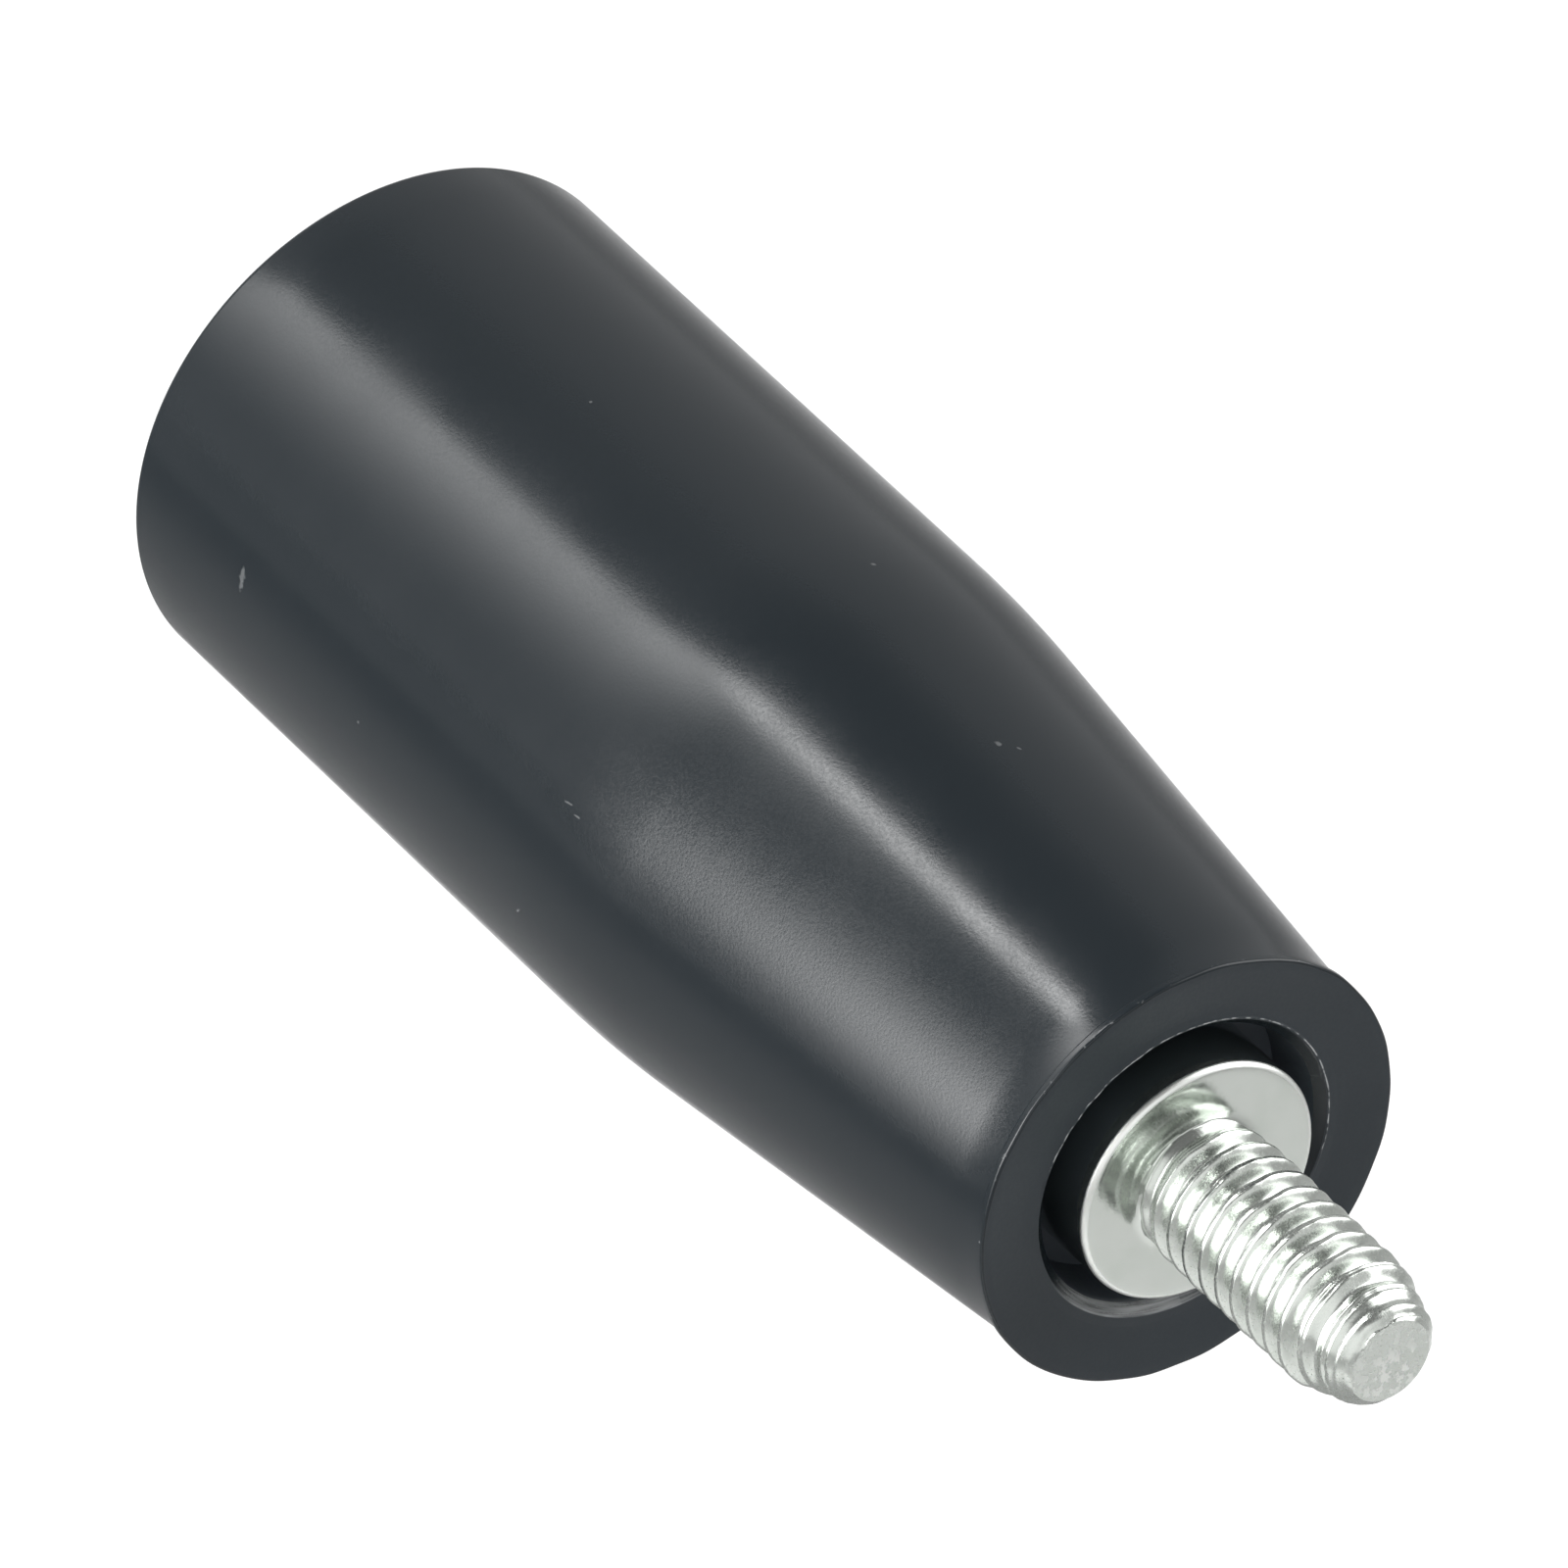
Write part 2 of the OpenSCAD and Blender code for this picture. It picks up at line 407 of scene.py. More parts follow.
def rubbed_and_sheen_marks(tree, place, clutter):
    """Broken pale flecks where the mesh is marked: real rubbing on the burr and a painted highlight on the
    flash, together with other marks.
    """
    rubbed_and_sheen = add_node(tree, "ShaderNodeAttribute", attribute_name="rubbed_and_sheen").outputs["Fac"]
    flecks_and_sheen = remap(tree, combine(tree, "ADD", rubbed_and_sheen, noise(tree, place, 3.5, 3.0)), 1.02, 1.22)
    return combine(tree, "MAXIMUM", flecks_and_sheen, clutter)


def painted_sheen_film(tree, place):
    """Painted sheen: a pale film where the mesh marks the patch low on the recess's chamfer, streaked round
    the axis.
    """
    painted_sheen = add_node(tree, "ShaderNodeAttribute", attribute_name="painted_sheen").outputs["Fac"]
    axes = add_node(tree, "ShaderNodeSeparateXYZ", {0: place}).outputs
    turn = combine(tree, "ARCTAN2", axes["Y"], axes["Z"])
    unrolled = add_node(tree, "ShaderNodeCombineXYZ", {0: axes["X"], 1: turn}).outputs[0]
    drawn_out = {"Vector": unrolled, "Scale": (14.0, 3.0, 1.0)}
    streaks = noise(tree, add_node(tree, "ShaderNodeMapping", drawn_out).outputs[0], 1.0, 3.0)
    film = remap(tree, streaks, 0.3, 0.7, 0.35, 1.0)
    return combine(tree, "MULTIPLY", film, painted_sheen)


def plastic(name, size, paint, roughness, grain_scale, grain_depth, clutter=None):
    """Black plastic with a fine grain, faint clouds in its gloss, rubbed edges, specks of dust, and a painted
    highlight and painted sheen where the mesh marks them.
    """
    material, tree, place = new_material(name)
    specks = combine(tree, "MULTIPLY", dust(tree, place), DUST_STRENGTH)
    if clutter:
        faint = combine(tree, "MULTIPLY", clutter(tree, place), SCUFF_STRENGTH)
        specks = combine(tree, "MAXIMUM", specks, faint)
    # marks holds real dust, scuffs and rubbing together with the painted highlight on the flash and the
    # painted sheen patch on the recess's chamfer.
    marks = rubbed_and_sheen_marks(tree, place, specks)
    marks = combine(tree, "MAXIMUM", marks, painted_sheen_film(tree, place))
    grain = noise(tree, place, grain_scale, 3.0)
    rough = remap(tree, grain, 0.3, 0.7, roughness - 0.03, roughness + 0.03)
    clouds = noise(tree, place, 0.16, 4.0, 0.6)
    rough = combine(tree, "ADD", rough, remap(tree, clouds, 0.3, 0.7, -0.025, 0.025))
    rough = combine(tree, "ADD", rough, combine(tree, "MULTIPLY", marks, MARK_ROUGHENING))
    tint = blend_colours(tree, marks, paint, size.rubbed_and_sheen)
    inputs = {"Base Color": tint, "Roughness": rough, "IOR": 1.45, "Specular IOR Level": 0.38}
    finish_surface(tree, inputs, grain, grain_depth)
    return material


def zinc_plate(size):
    """Bright zinc plating, duller on the thread, scuffed on the tip's flat, and painted pale round the
    collar's edge as a painted highlight.
    """
    material, tree, place = new_material("zinc_plating")
    axes = add_node(tree, "ShaderNodeSeparateXYZ", {0: place}).outputs
    along = axes["X"]
    spoke = add_node(tree, "ShaderNodeCombineXYZ", {1: axes["Y"], 2: axes["Z"]}).outputs[0]
    radius = add_node(tree, "ShaderNodeVectorMath", {0: spoke}, operation="LENGTH").outputs["Value"]
    clouds = noise(tree, place, 0.6, 3.0)
    pits = noise(tree, place, 11.0, 3.0)
    waves = noise(tree, place, 1.6, 2.0)
    on_thread = remap(tree, along, 0.1, 0.5)
    on_flat = remap(tree, along, SPINDLE_HIGH.x / MM - 0.06, SPINDLE_HIGH.x / MM - 0.01)
    away = add_node(tree, "ShaderNodeVectorMath", {0: spoke, 1: TIP_SCUFFS}, operation="DISTANCE")
    on_flat = combine(tree, "MULTIPLY", on_flat, remap(tree, away.outputs["Value"], 1.6, 0.7, 0.3, 1.0))
    scuffed = combine(tree, "MULTIPLY", remap(tree, noise(tree, place, 1.9, 4.0, 0.65), 0.5, 0.58), on_flat)
    tint = blend_colours(tree, remap(tree, clouds, 0.4, 0.75), size.zinc, size.zinc_dull)
    collar_r = SPINDLE_HIGH.z / MM
    # A pale, rougher band round the collar's rounded edge is a painted highlight.
    on_side = remap(tree, radius, collar_r - 0.24, collar_r - 0.14)
    edge_highlight = combine(tree, "MULTIPLY", on_side, remap(tree, along, -0.3, -0.2))
    tint = blend_colours(tree, combine(tree, "MAXIMUM", scuffed, edge_highlight), tint, size.scuffed)
    rough = remap(tree, on_thread, 0.0, 1.0, size.roughness, size.thread_roughness)
    rough = combine(tree, "ADD", rough, remap(tree, pits, 0.3, 0.75, -0.03, 0.06))
    rough = combine(tree, "ADD", rough, combine(tree, "MULTIPLY", scuffed, 0.2))
    rough = combine(tree, "ADD", rough, combine(tree, "MULTIPLY", edge_highlight, 0.22))
    grain = combine(tree, "MULTIPLY", pits, remap(tree, on_thread, 0.0, 1.0, 0.12, 0.5))
    height = combine(tree, "ADD", combine(tree, "ADD", grain, waves), combine(tree, "MULTIPLY", scuffed, 2.0))
    inputs = {"Base Color": tint, "Metallic": 1.0, "Roughness": rough}
    finish_surface(tree, inputs, height, depth=0.006 * MM)
    return material


def phosphated_steel(size):
    """Dark stamped spring steel with a grainy finish."""
    material, tree, place = new_material("phosphated_steel")
    grain = noise(tree, place, 6.0, 4.0)
    dark = [0.6 * value for value in size.steel]
    tint = blend_colours(tree, remap(tree, grain, 0.3, 0.7), dark, size.steel)
    rough = remap(tree, grain, 0.3, 0.7, size.roughness - 0.08, size.roughness + 0.08)
    inputs = {"Base Color": tint, "Metallic": 1.0, "Roughness": rough}
    finish_surface(tree, inputs, grain, depth=0.006 * MM)
    return material


# Turned meshes


def straight(start, end, steps):
    """Evenly spaced profile points from start up to, but without, end."""
    return [start.lerp(end, i / steps) for i in range(steps)]


def arc(centre, radius, first, last, steps):
    """Profile points of an arc, with 0 degrees along +radius and 90 degrees along +X."""
    angles = [math.radians(first + (last - first) * i / steps) for i in range(steps + 1)]
    return [centre + radius * Vector((math.sin(a), math.cos(a))) for a in angles]


def wander(angles, seed, slowest, fastest):
    """A seamless random wave round the axis, between about -1 and 1."""
    draw = np.random.default_rng(seed)
    waves = np.arange(slowest, fastest + 1)
    phases = draw.uniform(0, TURN, len(waves))
    sizes = draw.uniform(0.3, 1.0, len(waves))
    total = (sizes[:, None] * np.cos(waves[:, None] * angles + phases[:, None])).sum(axis=0)
    return total / np.sqrt((sizes ** 2).sum())


def smooth_step(value):
    """Smooth rise from 0 to 1."""
    clipped = np.clip(value, 0.0, 1.0)
    return clipped * clipped * (3 - 2 * clipped)


def ring_angles(segments):
    """Angles round the axis, from +Y towards +Z."""
    return np.arange(segments) * TURN / segments


def turned_mesh(name, rings, closed):
    """Mesh of rings of (x, radius) points round the axis; an open one gets a point at each end."""
    rings = np.asarray(rings)
    count, segments = rings.shape[:2]
    angles = ring_angles(segments)
    x, radius = rings[..., 0], rings[..., 1]
    points = np.stack([x, radius * np.cos(angles), radius * np.sin(angles)], axis=-1).reshape(-1, 3)
    points = [tuple(point) for point in points]
    faces = []
    for i in range(count if closed else count - 1):
        here = i * segments
        there = (i + 1) % count * segments
        for k in range(segments):
            after = (k + 1) % segments
            faces.append((here + k, here + after, there + after, there + k))
    if not closed:
        for i in (0, count - 1):
            points.append((float(x[i].mean()), 0.0, 0.0))
            faces += [(i * segments + k, i * segments + (k + 1) % segments, len(points) - 1)
                      for k in range(segments)]
    mesh = bpy.data.meshes.new(name)
    mesh.from_pydata(points, [], faces)
    tidy = bmesh.new()
    tidy.from_mesh(mesh)
    bmesh.ops.recalc_face_normals(tidy, faces=tidy.faces)
    tidy.to_mesh(mesh)
    tidy.free()
    mesh.shade_smooth()
    mesh.set_sharp_from_angle(angle=SHARP_ANGLE)
    return mesh


def add_piece(name, mesh, body, node):
    """Puts a mesh in the scene as the piece that stands for a CAD node."""
    piece = bpy.data.objects.new(name, mesh)
    bpy.context.scene.collection.objects.link(piece)
    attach(piece, body)
    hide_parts(node)
    return piece


# Grip


def curled(start, end, radius, steps):
    """Profile points from start towards end along a line that curls outwards by a large radius."""
    reach = (end - start).length
    shares = [i / steps for i in range(steps + 1)]
    return [start.lerp(end, s) + Vector((0.0, (s * reach) ** 2 / (2 * radius))) for s in shares]


def grip_outside(size):
    """Profile of the grip's skin, from the far end face to the edge of the end face at the stud."""
    radius = GRIP_HIGH.z
    far_x, face_x = GRIP_LOW.x, GRIP_HIGH.x
    knee_x = far_x + size.straight_len
    neck = Vector((face_x - size.burr_len, size.face_d / 2 - size.burr_h))
    slope = math.atan((radius - neck.y) / (neck.x - knee_x))
    knee_centre = Vector((knee_x - size.knee_r * math.tan(slope / 2), radius - size.knee_r))
    far_centre = Vector((far_x + size.far_edge_r, radius - size.far_edge_r))
    burr = Vector((neck.x + size.flare_len, size.face_d / 2))
    edge_centre = Vector((face_x - size.burr_edge_r, size.face_d / 2 - size.burr_edge_r))
    far_edge = arc(far_centre, size.far_edge_r, -90, 0, 8)
    knee = arc(knee_centre, size.knee_r, 0, math.degrees(slope), 16)
    edge = arc(edge_centre, size.burr_edge_r, 0, 90, 5)
    curl_start = neck + (knee[-1] - neck).normalized() * size.curl_len
    curl = curled(curl_start, neck, size.curl_r, 8)
    return (
        far_edge[:-1]
        + straight(far_edge[-1], knee[0], 14)
        + knee[:-1]
        + straight(knee[-1], curl_start, 14)
        + curl[:-1]
        + straight(curl[-1], burr, 3)
        + straight(burr, edge[0], 3)
        + edge
    )


def grip_inside(size):
    """Profile of the end face, the recess, the bearing bore, the pocket and the far end face."""
    far_x, face_x = GRIP_LOW.x, GRIP_HIGH.x
    floor_x = face_x - size.recess_depth
    pocket_x = far_x + size.pocket_depth
    recess, bore, pocket, cut = size.recess_d / 2, size.bore_d / 2, size.pocket_d / 2, size.mouth_chamfer
    mouth = recess + size.recess_chamfer
    mouth_x = face_x - size.dish_depth
    corners = [
        (mouth_x, mouth + 8 * size.flash_w, 5),
        (mouth_x, mouth, 16),
        (mouth_x - size.recess_chamfer, recess, 5),
        (floor_x, recess, 8),
        (floor_x, bore + cut, 4),
        (floor_x - cut, bore, 2),
        (pocket_x + cut, bore, 12),
        (pocket_x, bore + cut, 2),
        (pocket_x, pocket, 4),
        (far_x + cut, pocket, 8),
        (far_x, pocket + cut, 2),
    ]
    last = Vector((face_x, size.face_d / 2 - size.burr_edge_r))
    points = []
    for x, radius, steps in corners:
        corner = Vector((x, radius))
        points += straight(last, corner, steps)[1:] + [corner]
        last = corner
    far_corner = Vector((far_x, GRIP_HIGH.z - size.far_edge_r))
    return points + straight(last, far_corner, 4)[1:]


def on_flash(x, radius, size):
    """1 on the thin flash round the recess's mouth, falling to 0 on both sides."""
    middle = size.recess_d / 2 + size.recess_chamfer + 1.2 * size.flash_w
    near_half = x > (GRIP_LOW.x + GRIP_HIGH.x) / 2
    return smooth_step(1.2 - np.abs(radius - middle) / size.flash_w) * near_half


def flash_share(angles):
    """Share of the flash that stands round the recess: whole at the top, none at the bottom. It also limits
    the flash's painted highlight to the top.
    """
    return smooth_step((np.cos(angles - math.radians(FLASH_TURN)) + 0.45) / 0.7)


def painted_sheen_chamfer(x, radius, angles, size):
    """1 in the middle of the painted sheen patch low on the recess's chamfer, falling to 0 along it."""
    depth = (GRIP_HIGH.x - size.dish_depth - x) / size.recess_chamfer
    mouth = size.recess_d / 2 + size.recess_chamfer
    on_chamfer = (depth > -0.05) & (depth < 1.05) & (radius < 1.01 * mouth)
    return on_chamfer * smooth_step((np.cos(angles - math.radians(SHEEN_PATCH_TURN)) - 0.75) / 0.2)


def grip_rings(size, outside, inside):
    """Rings of the grip, with an uneven burr round the end face and thin flash round the recess."""
    angles = ring_angles(size.segments)
    rings = np.array([[point] * size.segments for point in outside + inside], dtype=float)
    burr_start = GRIP_HIGH.x - size.burr_len
    near_burr = smooth_step((rings[..., 0] - burr_start) / size.flare_len)
    at_rim = smooth_step((rings[..., 1] - size.face_d / 2 + 3 * size.burr_h) / (2 * size.burr_h))
    rings[..., 1] += size.burr_wander * near_burr * at_rim * wander(angles, 7, 2, 26)
    flash = on_flash(rings[..., 0], rings[..., 1], size)
    ragged = np.clip(0.7 + 0.4 * wander(angles, 11, 2, 40), 0.1, 1.5)
    rings[..., 0] += size.flash_h * flash * ragged * flash_share(angles)
    return rings


def mark_rubbed_and_sheen(mesh, size):
    """Marks where the plastic is painted pale: rubbed flecks on the burr, a painted highlight on the top of
    the flash, and a painted sheen patch low on the recess's chamfer.
    """
    points = np.empty(len(mesh.vertices) * 3, dtype=np.float32)
    mesh.vertices.foreach_get("co", points)
    points = points.reshape(-1, 3)
    radius = np.hypot(points[:, 1], points[:, 2])
    from_face = GRIP_HIGH.x - points[:, 0]
    on_rim = np.abs(radius - size.face_d / 2) / (0.6 * size.burr_h)
    rim = smooth_step(1 - on_rim) * (from_face < 2 * size.burr_edge_r)
    angles = np.arctan2(points[:, 2], points[:, 1])
    # The pale colour on the flash's top is a painted highlight; the rim's flecks are real rubbing.
    flash = on_flash(points[:, 0], radius, size) * flash_share(angles)
    # The patch low on the recess's chamfer is painted sheen.
    sheen_patch = painted_sheen_chamfer(points[:, 0], radius, angles, size)
    for name, values in (("rubbed_and_sheen", np.maximum(0.4 * rim, 0.66 * flash)), ("painted_sheen", 0.75 * sheen_patch)):
        mark = mesh.attributes.new(name, "FLOAT", "POINT")
        mark.data.foreach_set("value", values.astype(np.float32))


def material_slots(mesh, first_inside, size):
    """Slot of each face: 0 for the skin and the recess's chamfer, 1 for the end faces, 2 for bored walls."""
    centres = np.empty(len(mesh.polygons) * 3, dtype=np.float32)
    mesh.polygons.foreach_get("center", centres)
    centres = centres.reshape(-1, 3)
    x = centres[:, 0]
    radius = np.hypot(centres[:, 1], centres[:, 2])
    slots = np.full(len(mesh.polygons), 2, dtype=np.int32)
    slots[:first_inside] = 0
    inside = np.arange(len(slots)) >= first_inside
    near_end = x > GRIP_HIGH.x - size.recess_depth
    far_end = x < GRIP_LOW.x + 0.02 * size.mouth_chamfer
    mouth = size.recess_d / 2 + size.recess_chamfer
    slots[inside & (far_end | near_end & (radius > 0.999 * mouth))] = 1
    slots[inside & near_end & (radius > 1.002 * size.recess_d / 2) & (radius < 0.999 * mouth)] = 0
    return slots


class HANDLE_OT_make_grip(bpy.types.Operator):
    """Makes the moulded grip"""

    bl_idname = "handle.make_grip"
    bl_label = "Make Grip"

    def execute(self, context):
        size = context.scene.handle_grip
        outside = grip_outside(size)
        rings = grip_rings(size, outside, grip_inside(size))
        mesh = turned_mesh("moulded_grip", rings, closed=True)
        mark_rubbed_and_sheen(mesh, size)
        skin = plastic(
            "satin_plastic", size, size.skin, size.skin_roughness,
            grain_scale=9.0, grain_depth=0.0026 * MM, clutter=scuffs,
        )
        cut = plastic(
            "matte_plastic", size, size.cut, size.cut_roughness,
            grain_scale=7.0, grain_depth=0.004 * MM,
        )
        bored = plastic(
            "bored_plastic", size, size.bored, size.bored_roughness,
            grain_scale=5.0, grain_depth=0.003 * MM,
        )
        for material in (skin, cut, bored):
            mesh.materials.append(material)
        slots = material_slots(mesh, (len(outside) - 1) * size.segments, size)
        mesh.polygons.foreach_set("material_index", slots)
        add_piece("moulded_grip", mesh, "grip", "grip")
        return {"FINISHED"}


# Spindle


def tip_envelope(size, x):
    """Radius over the crests: the thread's own, then the lead cone and the bevelled edge of the tip."""
    flat_r, cone_r = size.tip_flat_d / 2, size.tip_d / 2
    bevel = flat_r + SPINDLE_HIGH.x - x
    cone_x = SPINDLE_HIGH.x - (cone_r - flat_r)
    cone = cone_r + (cone_x - x) * (size.stud_d / 2 - cone_r) / size.cone_len
    return np.minimum(np.minimum(bevel, cone), size.crest_d / 2)


def thread_rings(size, angles):
    """Rings of the stud from its tip to the collar: a rolled right-hand thread, shallow at both its ends."""
    stud_len = SPINDLE_HIGH.x
    rows = int(round(stud_len / size.row_step))
    x = np.linspace(stud_len, 0.0, rows + 1)[:, None]
    along = x / size.pitch - (angles - size.thread_start) / TURN
    along = along + HELIX_WANDER * wander(angles, 5, 2, 9) * np.sin(1.7 * x / size.pitch)
    from_crest = np.abs((along + 0.5) % 1.0 - 0.5)
    rise = smooth_step((FLANK_END - from_crest) / FLANK_LEN)
    envelope = tip_envelope(size, x) - size.crest_wander
    up_cone = np.clip((2 * envelope - size.tip_flat_d) / (size.crest_d - size.tip_flat_d), 0, 1)
    off_collar = DEPTH_AT_COLLAR + (1 - DEPTH_AT_COLLAR) * smooth_step(x / size.runout_len)
    rolled = up_cone ** TIP_FADE * off_collar
    crest = envelope - CREST_SINK * size.thread_depth * (1 - off_collar)
    depth = size.tip_depth + (size.thread_depth - size.tip_depth) * rolled
    seam = size.seam_depth * (1 + SEAM_KEPT - rolled) * np.exp(-(from_crest / SEAM_HALF_WIDTH) ** 2)
    ragged = size.crest_wander * (wander(angles, 23, 2, 24) + np.sin(x / size.pitch * 2.3)) / 2
    radius = crest - depth * (1 - rise) - seam + ragged * rise
    fillet_reach = np.clip(1 - x / size.root_fillet, 0, 1)
    radius = radius + size.root_fillet * (1 - np.sqrt(1 - fillet_reach ** 2))
    return np.stack([x + 0 * angles, radius], axis=-1)


def round_rings(profile, segments):
    """Rings of a plain turned profile."""
    return np.array([[point] * segments for point in profile], dtype=float)


def spindle_body(size, face_r):
    """Profile of the spindle behind the seating face, from the thread's root to the inner end face."""
    collar_r, shank_r, groove_r = SPINDLE_HIGH.z, size.shank_d / 2, size.groove_d / 2
    groove_front, groove_back = RING_HIGH.x + size.ring_gap, RING_LOW.x - size.ring_gap
    end_x, back_x = SPINDLE_LOW.x, -size.collar_back
    edge_centre = Vector((-size.collar_edge_r, collar_r - size.collar_edge_r))
    edge = arc(edge_centre, size.collar_edge_r, 90, 0, 7)
    corners = [
        (back_x, collar_r, 6),
        (back_x, shank_r, 3),
        (groove_front, shank_r, 24),
        (groove_front, groove_r, 3),
        (groove_back, groove_r, 2),
        (groove_back, shank_r, 3),
        (end_x + size.shank_chamfer, shank_r, 3),
        (end_x, shank_r - size.shank_chamfer, 2),
    ]
    points = straight(Vector((0.0, face_r)), edge[0], 8)[1:] + edge
    for x, radius, steps in corners:
        corner = Vector((x, radius))
        points += straight(points[-1], corner, steps)[1:] + [corner]
    return points


def socket_rings(size, angles):
    """Rings of the hexagonal key socket, from its mouth to the rim of its drilled point."""
    corner_turn = TURN / HEX_SIDES
    from_corner = np.abs((angles - TURN / 4 + corner_turn / 2) % corner_turn - corner_turn / 2)
    hexagon = size.key_af / 2 / np.cos(corner_turn / 2 - from_corner)
    end_x, floor_x = SPINDLE_LOW.x, SPINDLE_LOW.x + size.key_depth
    drill_r = KEY_DRILL * size.key_af / 2
    point_depth = drill_r / math.tan(DRILL_POINT / 2)
    rows = [(end_x, KEY_MOUTH * hexagon), (end_x + KEY_MOUTH_DEPTH, hexagon)]
    rows += [(end_x + (floor_x - end_x) * share_in, hexagon) for share_in in (0.35, 0.7, 1.0)]
    rows += [
        (floor_x + point_depth * (1 - reach), drill_r * reach + 0 * angles)
        for reach in (1.0, 0.75, 0.5, 0.25, 0.05)
    ]
    return np.array([np.stack([x + 0 * angles, radius], axis=-1) for x, radius in rows])


class HANDLE_OT_make_spindle(bpy.types.Operator):
    """Makes the turned spindle with its thread"""

    bl_idname = "handle.make_spindle"
    bl_label = "Make Spindle"

    def execute(self, context):
        size = context.scene.handle_spindle
        if size.segments % HEX_SIDES:
            raise ValueError("the spindle's segments have to be a multiple of six")
        angles = ring_angles(size.segments)
        tip_flat = [Vector((SPINDLE_HIGH.x, size.tip_flat_d / 2 * reach)) for reach in (0.1, 0.4, 0.7, 0.9)]
        thread = thread_rings(size, angles)
        body = spindle_body(size, float(thread[-1, :, 1].max()))
        rings = np.concatenate([
            round_rings(tip_flat, size.segments),
            thread,
            round_rings(body, size.segments),
            socket_rings(size, angles),
        ])
        mesh = turned_mesh("turned_spindle", rings, closed=False)
        mesh.materials.append(zinc_plate(size))
        add_piece("turned_spindle", mesh, "spindle", "spindle")
        return {"FINISHED"}


# Retaining ring


class HANDLE_OT_finish_ring(bpy.types.Operator):
    """Rounds the retaining ring's stamped edges and gives it its finish"""

    bl_idname = "handle.finish_ring"
    bl_label = "Finish Ring"

    def execute(self, context):
        size = context.scene.handle_ring
        RING_NODE.data.materials.clear()
        RING_NODE.data.materials.append(phosphated_steel(size))
        rounding = RING_NODE.modifiers.new("stamped_edges", "BEVEL")
        rounding.width = size.edge_r
        rounding.segments = 2
        rounding.limit_method = "ANGLE"
        rounding.angle_limit = SHARP_ANGLE
        return {"FINISHED"}


# Studio


def towards(azimuth, elevation):
    """Direction from the part to a place round it; azimuth 0 is in front, along -Y."""
    flat = math.cos(elevation)
    return Vector((math.sin(azimuth) * flat, -math.cos(azimuth) * flat, math.sin(elevation)))


def add_stage(name, points, faces, material):
    """A stage object from points and faces."""
    mesh = bpy.data.meshes.new(name)
    mesh.from_pydata(points, [], faces)
    mesh.materials.append(material)
    made = bpy.data.objects.new(name, mesh)
    bpy.context.scene.collection.objects.link(made)
    return made


def add_sheet(name, centre, half_sizes, turn, material):
    """A flat sheet on the floor, turned about the vertical."""
    side = Vector((math.cos(turn), math.sin(turn), 0.0)) * half_sizes[0]
    ahead = Vector((-math.sin(turn), math.cos(turn), 0.0)) * half_sizes[1]
    points = [centre + side * u + ahead * v for u, v in ((-1, -1), (1, -1), (1, 1), (-1, 1))]
    return add_stage(name, points, [(0, 1, 2, 3)], material)


def floor_paint(name, white, glow):
    """Floor paint, clear from below, with an even glow for camera, glossy and transmission rays alike."""
    material, tree, _ = new_material(name)
    path = add_node(tree, "ShaderNodeLightPath").outputs
    seen = combine(tree, "ADD", path["Is Camera Ray"], path["Is Glossy Ray"])
    seen = combine(tree, "ADD", seen, path["Is Transmission Ray"], clamp=True)
    strength = combine(tree, "MULTIPLY", seen, glow)
    light = add_node(tree, "ShaderNodeEmission", {"Color": (1.0, 1.0, 1.0, 1.0), "Strength": strength})
    paint = add_node(tree, "ShaderNodeBsdfDiffuse", {"Color": (white, white, white, 1.0)})
    lit = add_node(tree, "ShaderNodeAddShader", {0: paint.outputs[0], 1: light.outputs[0]})
    clear = add_node(tree, "ShaderNodeBsdfTransparent")
    under = add_node(tree, "ShaderNodeNewGeometry").outputs["Backfacing"]
    either = add_node(tree, "ShaderNodeMixShader", {0: under, 1: lit.outputs[0], 2: clear.outputs[0]})
    add_node(tree, "ShaderNodeOutputMaterial", {"Surface": either.outputs[0]})
    return material


def add_floor(studio):
    """Pale floor, a grey mat on the grip's left as painted shade for its lower flank to reflect, and a white
    sheet where the camera's line of sight ends.
    """
    down = Vector((0.0, 0.0, -studio.floor_drop))
    lift = Vector((0.0, 0.0, 1 * MM))
    half = studio.floor_size / 2
    add_sheet("floor", down, (half, half), 0.0, floor_paint("pale_floor", studio.floor_pale, 0.0))
    # The grey mat is painted shade for the grip's lower flank to reflect.
    mat = floor_paint("grey_shade_mat", studio.shade_mat_grey, 0.0)
    add_sheet("mat", down + lift + Vector(SHADE_MAT_MIDDLE), SHADE_MAT_HALF_SIZES, 0.0, mat)
    back = towards(studio.azimuth, studio.elevation)
    aim = Vector(studio.aim)
    behind = aim - back * ((aim.z + studio.floor_drop) / back.z)
    half_picture = (studio.distance + (aim - behind).length) * SENSOR_MM / studio.lens / 2
    half_sizes = (SHEET_MARGIN * half_picture, SHEET_MARGIN * half_picture / back.z)
    sheet = floor_paint("white_sheet", studio.sheet_paint, studio.sheet_glow)
    add_sheet("rear_sheet", behind + 2 * lift, half_sizes, studio.azimuth, sheet)


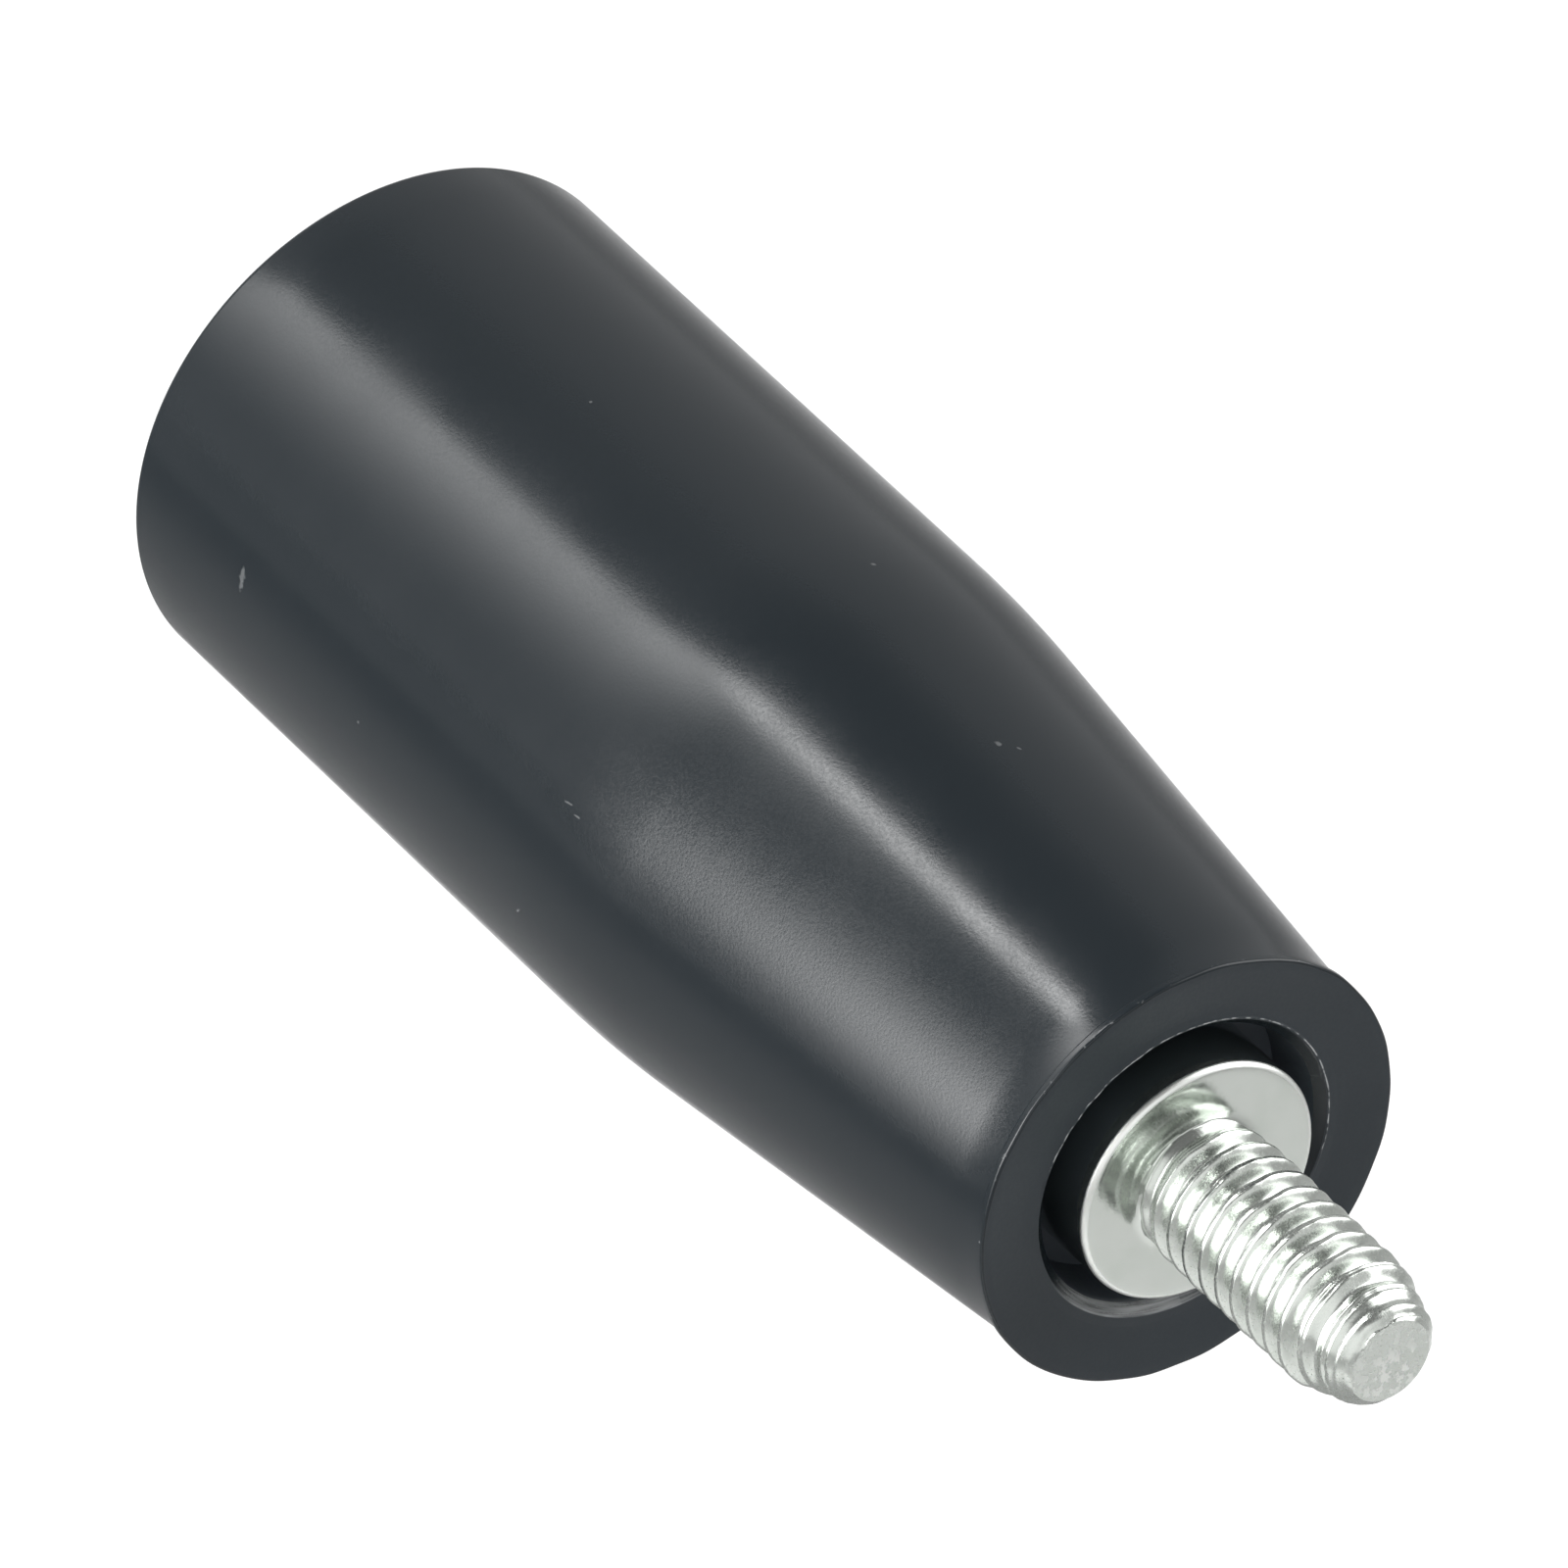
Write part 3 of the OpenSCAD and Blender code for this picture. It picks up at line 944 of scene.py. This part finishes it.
def panel_cloth(panel, radiance):
    """Sheer glowing cloth whose light fades towards its edges."""
    material = bpy.data.materials.new(f"{panel.name}_cloth")
    material.use_nodes = True
    tree = material.node_tree
    tree.nodes.clear()
    place = add_node(tree, "ShaderNodeTexCoord").outputs["UV"]
    axes = add_node(tree, "ShaderNodeSeparateXYZ", {0: place}).outputs
    glow = radiance
    for axis, fades in ((axes[0], panel.across), (axes[1], panel.upright)):
        for edge, full in fades:
            glow = combine(tree, "MULTIPLY", remap(tree, axis, edge, full), glow)
    light = add_node(tree, "ShaderNodeEmission", {"Color": (1.0, 1.0, 1.0, 1.0), "Strength": glow})
    clear = add_node(tree, "ShaderNodeBsdfTransparent")
    sheer = add_node(tree, "ShaderNodeAddShader", {0: light.outputs[0], 1: clear.outputs[0]})
    add_node(tree, "ShaderNodeOutputMaterial", {"Surface": sheer.outputs[0]})
    return material


def add_panel(panel, radiance):
    """A light panel round the middle of the grip, out of the camera's sight."""
    centre = Vector(((GRIP_LOW.x + GRIP_HIGH.x) / 2, 0.0, 0.0))
    shares = [i / PANEL_STEPS for i in range(PANEL_STEPS + 1)]
    spots = [(u, v) for v in shares for u in shares]
    bottom, top = panel.heights
    points = []
    for u, v in spots:
        first, last = (low + (high - low) * v for low, high in zip(panel.low_turns, panel.high_turns))
        azimuth = math.radians(first + (last - first) * u)
        elevation = math.radians(bottom + (top - bottom) * v)
        points.append(centre + towards(azimuth, elevation) * panel.distance)
    row = PANEL_STEPS + 1
    faces = [(j * row + i, j * row + i + 1, (j + 1) * row + i + 1, (j + 1) * row + i)
             for j in range(PANEL_STEPS) for i in range(PANEL_STEPS)]
    made = add_stage(f"{panel.name}_light", points, faces, panel_cloth(panel, radiance))
    sheet = made.data.uv_layers.new(name="sheet")
    for loop, corner in zip(sheet.data, made.data.loops):
        loop.uv = spots[corner.vertex_index]
    made.visible_camera = False
    made.visible_shadow = False


def add_lights(studio):
    """Tall strip light on the left with a lamp above it, a window in front and weak side and rear lights."""
    for panel in LIGHT_PANELS:
        add_panel(panel, getattr(studio, f"{panel.name}_radiance"))


def light_room(studio):
    """Room light: even walls and a darker ceiling."""
    world = bpy.data.worlds.new("studio_room")
    bpy.context.scene.world = world
    world.use_nodes = True
    tree = world.node_tree
    tree.nodes.clear()
    way = add_node(tree, "ShaderNodeTexCoord").outputs["Generated"]
    height = add_node(tree, "ShaderNodeSeparateXYZ", {0: way}).outputs["Z"]
    glow = remap(tree, height, WALL_TOP, CEILING_EDGE, studio.walls, studio.ceiling)
    light = add_node(tree, "ShaderNodeBackground", {"Color": (1.0, 1.0, 1.0, 1.0), "Strength": glow})
    add_node(tree, "ShaderNodeOutputWorld", {"Surface": light.outputs[0]})


def add_camera(studio):
    """Camera at the photograph's viewing angle."""
    lens = bpy.data.cameras.new("camera")
    lens.sensor_width = SENSOR_MM
    lens.lens = studio.lens
    lens.clip_start = 0.05
    lens.clip_end = 50.0
    camera = bpy.data.objects.new("camera", lens)
    bpy.context.scene.collection.objects.link(camera)
    back = towards(studio.azimuth, studio.elevation)
    camera.location = Vector(studio.aim) + back * studio.distance
    camera.rotation_mode = "QUATERNION"
    camera.rotation_quaternion = (-back).to_track_quat("-Z", "Y")
    bpy.context.scene.camera = camera


class HANDLE_OT_make_studio(bpy.types.Operator):
    """Makes the camera, the floor and the lights"""

    bl_idname = "handle.make_studio"
    bl_label = "Make Studio"

    def execute(self, context):
        studio = context.scene.handle_studio
        context.scene.view_settings.view_transform = "Standard"
        add_camera(studio)
        light_room(studio)
        add_floor(studio)
        add_lights(studio)
        return {"FINISHED"}


# Add-on


class HANDLE_PT_sidebar(bpy.types.Panel):
    """Lists the steps that build the handle"""

    bl_label = "Revolving Handle"
    bl_idname = "HANDLE_PT_sidebar"
    bl_space_type = "VIEW_3D"
    bl_region_type = "UI"
    bl_category = "Handle"

    def draw(self, context):
        for settings, operator in STEPS:
            box = self.layout.box()
            box.operator(operator)
            group = getattr(context.scene, settings)
            for name in group.bl_rna.properties.keys():
                if name not in ("rna_type", "name"):
                    box.prop(group, name)


GROUPS = {
    "handle_grip": GripSettings,
    "handle_spindle": SpindleSettings,
    "handle_ring": RingSettings,
    "handle_studio": StudioSettings,
}
OPERATORS = (HANDLE_OT_make_grip, HANDLE_OT_make_spindle, HANDLE_OT_finish_ring, HANDLE_OT_make_studio)
STEPS = tuple((settings, operator.bl_idname) for settings, operator in zip(GROUPS, OPERATORS))
CLASSES = (*GROUPS.values(), *OPERATORS, HANDLE_PT_sidebar)


def register():
    for made in CLASSES:
        bpy.utils.register_class(made)
    for name, group in GROUPS.items():
        setattr(bpy.types.Scene, name, PointerProperty(type=group))


def unregister():
    for name in GROUPS:
        delattr(bpy.types.Scene, name)
    for made in reversed(CLASSES):
        bpy.utils.unregister_class(made)


def main():
    register()
    bpy.ops.handle.make_grip()
    bpy.ops.handle.make_spindle()
    bpy.ops.handle.finish_ring()
    bpy.ops.handle.make_studio()


if __name__ == "__main__":
    main()
